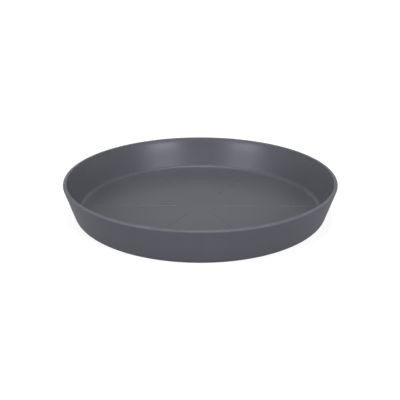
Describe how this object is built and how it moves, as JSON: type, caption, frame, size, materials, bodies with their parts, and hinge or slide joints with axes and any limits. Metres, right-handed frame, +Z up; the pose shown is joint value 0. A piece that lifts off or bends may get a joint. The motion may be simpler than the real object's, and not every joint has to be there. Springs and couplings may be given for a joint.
{
  "type": "plant saucer",
  "caption": "Round shallow plant saucer moulded in one piece, with a leaning wall, a level rim with rounded edges and low radial floor ribs, to catch the water that drains from a pot.",
  "frame": {"origin": "middle of the foot, on the surface that the saucer stands on", "axes": "+Z up, out of the open side of the dish; +X along one floor rib"},
  "size_m": [0.3, 0.3, 0.0395],
  "materials": {
    "grey_plastic": "satin"
  },
  "bodies": {
    "root": {"saucer": "grey_plastic"}
  },
  "joints": []
}
